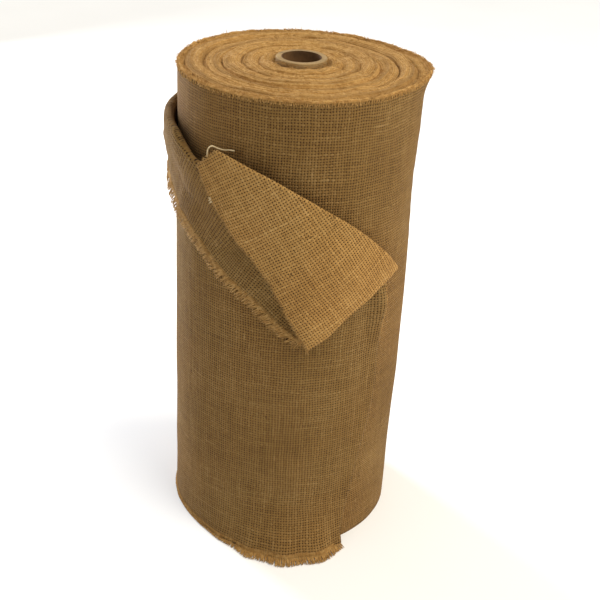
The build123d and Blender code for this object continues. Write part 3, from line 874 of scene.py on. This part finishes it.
# the fold's back: it turns over the ply beneath and goes down into the gap
back = [(0.35, -0.7), (1.15, -1.35), (0.9, -2.6), (-0.4, -4.2), (-3.0, -5.6), (-7.0, -6.6), (-12.0, -7.2)]
BA = np.repeat(Rt[:, 0][:, None], len(back) + 1, 1)
BR = np.stack([FLR[:, -1]] + [FLR[:, -1] + d[1] for d in back], 1)
BZ = np.stack([FLZ[:, -1]] + [FLZ[:, -1] + d[0] for d in back], 1)
fade = smooth((1 - pu[:, 0, 0]) / 0.08)[:, None]
BZ = FLZ[:, -1][:, None] + (BZ - FLZ[:, -1][:, None]) * np.concatenate([[1.0], np.ones(len(back))])[None]
BR = np.maximum(BR, 119.9)
# the free end turns back on itself to meet the ply beneath
roll_back = [(0.9, -0.5), (1.0, -1.5), (0.2, -2.4), (-1.6, -2.9)]
nrm = np.array([-0.551, 0.835])
CA = [FLA[-1]]
CZ = [FLZ[-1]]
CR = [FLR[-1]]
for d, dr in roll_back:
    CA.append(FLA[-1] + np.degrees(d * -nrm[0] / 129.0))
    CZ.append(FLZ[-1] - d * nrm[1])
    CR.append(FLR[-1] + dr * np.minimum(1.0, (FLR[-1] - 124.0) / 4.0))
CA, CZ, CR = np.stack(CA), np.stack(CZ), np.stack(CR)
b = Build()
b.grid(xyz(FLA, FLR, FLZ), flap_uv(FLA, FLZ), 0)
tx_, tz_ = np.gradient(np.radians(Rt[:, 0]) * 129.0), np.gradient(Rt[:, 1])
tl_ = np.hypot(tx_, tz_)
nx_, nz_ = -tz_ / tl_, tx_ / tl_
run = np.concatenate([[0.0], np.cumsum([math.hypot(0.35, 0.7)] + [math.hypot(back[k][0] - back[k - 1][0], back[k][1] - back[k - 1][1]) for k in range(1, len(back))])])
b.grid(xyz(BA, BR, BZ), flap_uv(BA + np.degrees(run[None] * nx_[:, None] / 129.0), FLZ[:, -1][:, None] + run[None] * nz_[:, None]), 0)
b.grid(xyz(CA, CR, CZ), flap_uv(CA, CZ), 0)
flap = b.object("corner_flap_cloth", [M_PAINTED_LIT_JUTE], weld=0.02)
bm = bmesh.new()
bm.from_mesh(flap.data)
bmesh.ops.recalc_face_normals(bm, faces=bm.faces)
bm.to_mesh(flap.data)
bm.free()
thicken(flap)
bend_corner(flap)
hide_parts("flap_upper", "flap_corner")


# ---------------------------------------------------------------------------
# frayed edges
# ---------------------------------------------------------------------------
def fringe(base, along, out, length, rad, n=6, seed=1, split=2, curl_=0.35, lift=None, spread=0.25, droop=0.0, jitter=0.3):
    """Threads from points on an edge. base (k,3); along, out, lift: unit vectors (k,3)."""
    g = np.random.default_rng(seed)
    k = len(base)
    paths, radii = [], []
    for q in range(split):
        L = length * g.uniform(0.55, 1.15, k)
        sl = g.normal(0, spread, k)
        c1 = g.normal(0, curl_, k)
        c2 = g.normal(0, curl_, k)
        t = np.linspace(0, 1, n)[None, :, None]
        o = out[:, None] * (L[:, None, None] * t)
        s = along[:, None] * ((sl * L)[:, None, None] * t + (c1 * L)[:, None, None] * 0.35 * np.sin(t * math.pi))
        h = lift[:, None] * ((c2 * L)[:, None, None] * 0.22 * np.sin(t * math.pi * 1.3) + (droop * L)[:, None, None] * t ** 2 if np.ndim(droop) else (c2 * L)[:, None, None] * 0.22 * np.sin(t * math.pi * 1.3) + droop * L[:, None, None] * t ** 2)
        b0 = base + along * g.normal(0, jitter, (k, 1)) + lift * g.normal(0, 0.12, (k, 1))
        paths.append(b0[:, None] + o + s + h)
        r0 = rad * g.uniform(0.7, 1.15, (k, 1))
        radii.append(r0 * (1 - 0.55 * np.linspace(0, 1, n)[None] ** 1.5))
    return np.concatenate(paths), np.concatenate(radii)


def unit(v):
    return v / (np.linalg.norm(v, axis=-1, keepdims=True) + 1e-9)


# along the folded-down selvedge: yarn ends lying over the edge, pointing down and to the left
edge3 = np.stack([Ar, Zr, Rr_], -1)
keepF = Ar[:, -1] < 7.0
e1, e3 = edge3[keepF, -1], edge3[keepF, -4]
p1 = xyz(e1[:, 0], e1[:, 2], e1[:, 1])
ss = np.concatenate([[0], np.cumsum(np.linalg.norm(np.diff(p1, axis=0), axis=1))])
flare = table([(-115, 3.4), (-90, 3.6), (-72, 3.4), (-52, 0.6), (-30, -0.6), (10, -0.8)])
fr_len = table([(-115, 10.5), (-90, 13.5), (-72, 13.0), (-50, 11.5), (-30, 10.6), (8, 9.0)])


def edge_threads(step, rad, seed, short=1.0, wild=0.0):
    g = np.random.default_rng(seed)
    sq = np.arange(0.4, ss[-1], step)
    sq = np.clip(sq + g.normal(0, 0.25, len(sq)), 0, ss[-1])
    E1 = np.stack([np.interp(sq, ss, e1[:, k]) for k in range(3)], 1)
    E3 = np.stack([np.interp(sq, ss, e3[:, k]) for k in range(3)], 1)
    # along the edge, and down across it, in the unrolled surface
    tx = np.gradient(np.radians(E1[:, 0]) * RF)
    tz = np.gradient(E1[:, 1])
    tl = np.hypot(tx, tz) + 1e-9
    tx, tz = tx / tl, tz / tl
    ox, oz = tz, -tx                       # downwards and to the left
    k = len(sq)
    sl = g.normal(-0.30, 0.16 + 0.35 * wild, k)
    dx, dz = ox + tx * sl, oz + tz * sl
    L = fr_len(E1[:, 0]) * short * g.uniform(0.72, 1.12, k) * (1 - wild * g.uniform(0, 0.5, k))
    out_ = np.array([-3.6, -1.8, 0.0, 0.3, 0.65, 1.0])
    dist = np.where(out_[None] < 0, out_[None] * np.ones((k, 1)), out_[None] * L[:, None])
    bend_ = g.normal(0, 0.09 + 0.2 * wild, k)[:, None] * L[:, None] * np.sin(np.clip(out_, 0, 1) * math.pi * 0.8)[None]
    a_ = E1[:, 0][:, None] + np.degrees((dist * dx[:, None] + bend_ * tx[:, None]) / RF)
    z_ = E1[:, 1][:, None] + dist * dz[:, None] + bend_ * tz[:, None]
    up3 = (E3[:, 2] - E1[:, 2])
    rise = np.array([-0.05, 0.62, 0.95, 0.85, 0.72, 0.55])
    r_ = E1[:, 2][:, None] + np.clip(-dist / 4.2, 0, 1) * up3[:, None] + rise[None]
    t_ = np.clip(out_, 0, 1)[None]
    r_ = r_ + flare(E1[:, 0])[:, None] * t_ ** 1.3 + g.normal(0, 0.25 + 0.5 * wild, (k, 1)) * t_
    r_ = np.maximum(r_, wall_r(a_, np.maximum(z_, 1.0)) + 0.9)
    return xyz(a_, r_, z_), rad * g.uniform(0.7, 1.15, (k, 1)) * np.array([0.5, 0.9, 1, 1, 0.9, 0.5])[None]


P1, R1 = edge_threads(PITCH * 0.33, 0.60, 5)
P2, R2 = edge_threads(PITCH * 0.30, 0.19, 6, wild=1.0)
cuff_fr = threads("cuff_frayed_yarns", np.concatenate([P1, P2]), np.concatenate([R1, R2]), M_YARN)
bend_corner(cuff_fr)
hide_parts("frayed_edge_left", "frayed_edge_front", "frayed_edge_corner")

# along the hanging corner's selvedge and cut end: short tufts
fe = xyz(FLA[:, 0], FLR[:, 0], FLZ[:, 0])
ss = np.concatenate([[0], np.cumsum(np.linalg.norm(np.diff(fe, axis=0), axis=1))])
sq = np.arange(0.5, ss[-1], PITCH * 0.55)
E = np.stack([np.interp(sq, ss, fe[:, k]) for k in range(3)], 1)
tang = unit(np.gradient(E, axis=0))
rad_dir = unit(np.stack([E[:, 0], E[:, 1], np.zeros(len(E))], 1))
outw = unit(np.cross(tang, rad_dir))
outw = outw * np.sign(-outw[:, 0:1])
P1, R1 = fringe(E + outw * -0.7, tang, unit(outw * 0.95 + tang * 0.25), np.full(len(E), 2.6), 0.55, n=4, seed=15, split=1, lift=rad_dir, spread=0.3)
P2, R2 = fringe(E + outw * -0.7, tang, outw, np.full(len(E), 3.2), 0.16, n=4, seed=16, split=3, lift=rad_dir, curl_=0.8, spread=0.7)
tip = xyz(np.array([8.6]), np.array([133.6]), np.array([256.5]))
tipdir = np.array([[0.05, 0.0, -1.0]])
P3, R3 = fringe(np.repeat(tip, 3, 0), np.repeat([[1.0, 0, 0]], 3, 0), np.repeat(tipdir, 3, 0), np.full(3, 6.5), 0.4, n=4, seed=17, split=1, lift=np.repeat([[0, -1.0, 0]], 3, 0), spread=0.12)
tuft = xyz(np.full(7, -34.6) + np.linspace(-0.3, 0.5, 7), np.full(7, 134.2), np.full(7, 399.0) + np.linspace(1.5, -2.5, 7))
P5, R5 = fringe(tuft, np.repeat([[0.4, 0, -0.9]], 7, 0), unit(np.repeat([[-0.75, -0.5, -0.35]], 7, 0)), np.full(7, 3.0), 0.55, n=4, seed=19, split=1, lift=np.repeat([[0, -1.0, 0]], 7, 0), spread=0.4)
pale = threads("corner_pale_tuft", P5, R5, M_PALE)
bend_corner(pale)
ce = xyz(FLA[0], FLR[0], FLZ[0])
sc = np.linspace(0, len(ce) - 1, 12).astype(int)
Ec = ce[sc]
tc_ = unit(np.gradient(Ec, axis=0))
rc_ = unit(np.stack([Ec[:, 0], Ec[:, 1], np.zeros(len(Ec))], 1))
oc = unit(np.cross(tc_, rc_))
oc = oc * np.sign(-oc[:, 0:1])
P4, R4 = fringe(Ec - oc * 0.7, tc_, oc, np.full(len(Ec), 2.8), 0.5, n=4, seed=18, split=2, lift=rc_, spread=0.4)
flap_fr = threads("corner_frayed_yarns", np.concatenate([P1, P2, P3, P4]), np.concatenate([R1, R2, R3, R4]), M_YARN)
bend_corner(flap_fr)

# round the foot of the loose turn: yarn ends splayed on the floor
foot_len = table([(-150, 1.0), (-60, 1.6), (-34, 3.2), (-20, 6.6), (-12, 9.6), (10, 11.0), (25, 9.6), (33, 8.4), (40, 8)])
a_hem = A_w[:, 0]
ss = np.concatenate([[0], np.cumsum(np.linalg.norm(np.diff(WALL[:, 0], axis=0), axis=1))])
sq = np.arange(0.5, ss[-1] - 0.4, PITCH * 0.42)
ha = np.interp(sq, ss, a_hem)
ha = ha[ha > -150]


def hem_threads(ha, rad, seed, n=7, short=1.0, wild=0.0):
    g = np.random.default_rng(seed)
    k = len(ha)
    L = foot_len(ha) * g.uniform(0.88, 1.06, k) * short * (1 - wild * g.uniform(0, 0.6, k))
    sl = g.normal(-0.05, 0.10 + 0.25 * wild, k)
    ht = np.array([5.5, 3.0, 1.3, 0, 0, 0, 0])
    out_ = np.array([0, 0, 0.05, 0.30, 0.55, 0.80, 1.0])
    a_ = ha[:, None] + np.degrees(np.cumsum(np.concatenate([np.zeros((k, 3)), g.normal(0, 0.10 + 0.25 * wild, (k, 4)) * L[:, None] * 0.25], 1), 1) / 130.0)
    a_ = a_ + np.degrees(sl[:, None] * L[:, None] * out_[None] / 130.0)
    z_ = ht[None] + np.array([0, 0, 0, 1.1, 0.9, 0.85, 0.8])[None] + np.abs(g.normal(0, 0.15 + 0.5 * wild, (k, 1))) * out_[None]
    r_ = wall_r(np.repeat(ha[:, None], 7, 1), np.maximum(z_, 1.1)) + 0.62 + L[:, None] * out_[None]
    return xyz(a_, r_, z_), rad * g.uniform(0.75, 1.15, (k, 1)) * np.array([0.6, 1, 1, 1, 0.95, 0.85, 0.55])[None]


P1, R1 = hem_threads(ha, 0.66, 25)
P1b, R1b = hem_threads(ha[::2] + 0.4, 0.60, 27)
P2, R2 = hem_threads(ha, 0.2, 26, wild=1.0)
P1, R1 = np.concatenate([P1, P1b]), np.concatenate([R1, R1b])
foot = threads("foot_frayed_yarns", np.concatenate([P1, P2]), np.concatenate([R1, R2]), M_YARN)
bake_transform(foot)
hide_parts("foot_fringe")

# top rim of the roll: yarn ends standing along the selvedge, some laid outwards
n_rim = int(2 * math.pi * ROLL_R / (PITCH * 0.5))
ra = np.arange(n_rim) / n_rim * 360 - 180
g = np.random.default_rng(77)
zb = 494.6 + g.normal(0, 0.6, n_rim)
E = xyz(ra, roll_r(ra, zb) + 0.25, zb)
rad_dir = unit(np.stack([E[:, 0], E[:, 1], np.zeros(len(E))], 1))
tang = unit(np.cross(np.repeat([[0, 0, 1.0]], len(E), 0), rad_dir))
up = np.repeat([[0, 0, 1.0]], len(E), 0)
P1, R1 = fringe(E, tang, unit(up + rad_dir * 0.04), np.full(n_rim, 5.4), 0.42, n=4, seed=35, split=1, lift=-rad_dir, droop=0.16, spread=0.14)
Et = xyz(ra, roll_r(ra, np.full(n_rim, 497.0)) - 1.6 + g.normal(0, 1.1, n_rim), 499.0 + g.normal(0, 0.35, n_rim))
P2, R2 = fringe(Et, tang, unit(rad_dir * 0.8 - up * 0.35), np.full(n_rim, 2.7), 0.20, n=4, seed=36, split=4, lift=up, spread=0.9, curl_=0.8, jitter=1.2)
P3, R3 = fringe(Et, tang, unit(-rad_dir * 0.75 + up * 0.25), np.full(n_rim, 3.2), 0.24, n=4, seed=37, split=2, lift=up, spread=0.9, curl_=0.8, jitter=1.2)
rim = threads("rim_frayed_yarns", np.concatenate([P1, P2, P3]), np.concatenate([R1, R2, R3]), M_FUZZ)
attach(rim, "roll")

# matted fibres over the roll's end
nf = 5200
g = np.random.default_rng(91)
fr_ = np.sqrt(g.uniform(28.0 ** 2, 116.0 ** 2, nf))
fa2 = g.uniform(-180, 180, nf)
zt_ = np.full(nf, 497.6)
for (nm, r0, r1, top, seed) in BUNDLES:
    m_ = (fr_ >= r0) & (fr_ < r1)
    zt_[m_] = top + end_height(fa2[m_], fr_[m_], r0, r1, seed)
E = xyz(fa2, fr_, zt_ - 0.1)
rad_dir = unit(np.stack([E[:, 0], E[:, 1], np.zeros(len(E))], 1))
up = np.repeat([[0, 0, 1.0]], nf, 0)
tang = np.cross(up, rad_dir)
mixd = unit(tang * g.normal(0, 1.0, (nf, 1)) + rad_dir * g.normal(0, 0.55, (nf, 1)) + up * g.uniform(0.1, 0.5, (nf, 1)))
P1, R1 = fringe(E, rad_dir, mixd, g.uniform(2.0, 4.6, nf), 0.2, n=4, seed=92, split=1, lift=up, droop=-0.25, spread=0.4, curl_=0.7)
# a few of them stray over the end of the tube
g = np.random.default_rng(93)
fa3 = g.uniform(-180, 180, 300)
fz3 = g.uniform(498.8, 503.9, 300)
E = xyz(fa3, 25.25 + g.uniform(0, 0.5, 300), fz3)
rad_dir = unit(np.stack([E[:, 0], E[:, 1], np.zeros(300)], 1))
tang = np.cross(np.repeat([[0, 0, 1.0]], 300, 0), rad_dir)
mixd = unit(tang * g.normal(0, 1.2, (300, 1)) + rad_dir * g.uniform(-0.15, 0.9, (300, 1)) + np.array([[0, 0, 1.0]]) * g.uniform(-0.2, 0.25, (300, 1)))
P2, R2 = fringe(E, tang, mixd, g.uniform(2.0, 5.0, 300), 0.2, n=4, seed=94, split=1, lift=np.repeat([[0, 0, 1.0]], 300, 0), droop=-0.2, spread=0.4, curl_=0.7)
fuzz = threads("end_fibres", np.concatenate([P1, P2]), np.concatenate([R1, R2]), M_FUZZ, sides=3)
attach(fuzz, "roll")

# ---------------------------------------------------------------------------
# one loose yarn from the cut end
# ---------------------------------------------------------------------------
ROUTE = [(-37.6, 435.0, 131.2), (-37.2, 440.5, 133.6), (-36.8, 447.0, 133.8), (-35.8, 450.0, 131.2), (-34.2, 447.0, 127.4), (-31.4, 445.8, 125.0), (-29.3, 447.0, 123.6), (-27.2, 446.6, 122.4)]
cu = bpy.data.curves.new("loose_yarn_thread", "CURVE")
cu.dimensions = "3D"
sp = cu.splines.new("NURBS")
sp.points.add(len(ROUTE) - 1)
pts = [xyz(np.array(a_), r_, z_) for a_, z_, r_ in ROUTE]
for p_, q_ in zip(sp.points, pts):
    p_.co = (*(q_ * MM), 1.0)
sp.order_u = 3
sp.use_endpoint_u = True
sp.resolution_u = 12
cu.bevel_depth = 0.00065
cu.bevel_resolution = 3
cu.use_fill_caps = True
cu.materials.append(M_PALE)
yarn = bpy.data.objects.new("loose_yarn_thread", cu)
bpy.context.scene.collection.objects.link(yarn)
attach(yarn, "loose_turn")
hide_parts("loose_yarn")

# ---------------------------------------------------------------------------
# core
# ---------------------------------------------------------------------------
core = bpy.data.objects["core_tube"]
core.data.materials.clear()
core.data.materials.append(M_BOARD)

# ---------------------------------------------------------------------------
# floor, light, camera
# ---------------------------------------------------------------------------
fm, fnt, fb = new_material("pale_floor")
gg = G(fnt)
tcf = fnt.nodes.new("ShaderNodeTexCoord")
nf_ = gg.noise(tcf.outputs["Object"], 3.0, 2.0)
gg.put(fb.inputs["Base Color"], gg.ramp(nf_, [(0.3, (0.90, 0.90, 0.90)), (0.7, (0.93, 0.93, 0.93))]))
fb.inputs["Roughness"].default_value = 0.9
fb.inputs["Specular IOR Level"].default_value = 0.1
bpy.ops.mesh.primitive_plane_add(size=14, location=(0, 0, -0.0004))
floor = bpy.context.object
floor.name = "studio_floor"
floor.data.materials.append(fm)

world = bpy.data.worlds.new("studio")
bpy.context.scene.world = world
world.use_nodes = True
bg = world.node_tree.nodes["Background"]
bg.inputs[0].default_value = (1.0, 1.0, 1.0, 1.0)
bg.inputs[1].default_value = 0.54


def area(name, az, el, dist, size, power, color, aim=(0, 0, 0.28)):
    d = bpy.data.lights.new(name, "AREA")
    d.shape = "RECTANGLE"
    d.size, d.size_y = size
    d.energy = power
    d.color = color
    o = bpy.data.objects.new(name, d)
    a_, e_ = math.radians(az), math.radians(el)
    o.location = Vector(aim) + Vector((math.sin(a_) * math.cos(e_), -math.cos(a_) * math.cos(e_), math.sin(e_))) * dist
    o.rotation_euler = (Vector(aim) - o.location).to_track_quat("-Z", "Y").to_euler()
    bpy.context.scene.collection.objects.link(o)
    return o


def sun(name, az, el, strength, angle, color):
    d = bpy.data.lights.new(name, "SUN")
    d.energy = strength
    d.angle = math.radians(angle)
    d.color = color
    o = bpy.data.objects.new(name, d)
    a_, e_ = math.radians(az), math.radians(el)
    v = Vector((math.sin(a_) * math.cos(e_), -math.cos(a_) * math.cos(e_), math.sin(e_)))
    o.rotation_euler = (-v).to_track_quat("-Z", "Y").to_euler()
    o.location = v * 3
    bpy.context.scene.collection.objects.link(o)
    return o


sun("key_right", 64, 58, 1.95, 38, (1.0, 0.95, 0.84))
area("side_right", 88, 14, 1.5, (0.8, 0.9), 9, (1.0, 0.88, 0.62))
area("rim_left", -136, 12, 1.7, (0.5, 1.1), 42, (0.92, 0.95, 1.0))

cam = bpy.data.cameras.new("camera")
cam.sensor_width = 36.0
cam.lens = 66.53
cam.clip_end = 50
cob = bpy.data.objects.new("camera", cam)
yaw, pitch, rollc = 0.0109, 0.4970, 0.0556
fwd = Vector((math.sin(yaw) * math.cos(pitch), math.cos(yaw) * math.cos(pitch), -math.sin(pitch)))
r0 = Vector((math.cos(yaw), -math.sin(yaw), 0))
u0 = r0.cross(fwd)
rt = r0 * math.cos(rollc) + u0 * math.sin(rollc)
ut = -r0 * math.sin(rollc) + u0 * math.cos(rollc)
mtx = Matrix((rt, ut, -fwd)).transposed().to_4x4()
mtx.translation = Vector((0.0, -1.0470, 0.8068))
cob.matrix_world = mtx
bpy.context.scene.collection.objects.link(cob)
bpy.context.scene.camera = cob
bpy.context.scene.view_settings.view_transform = "Standard"
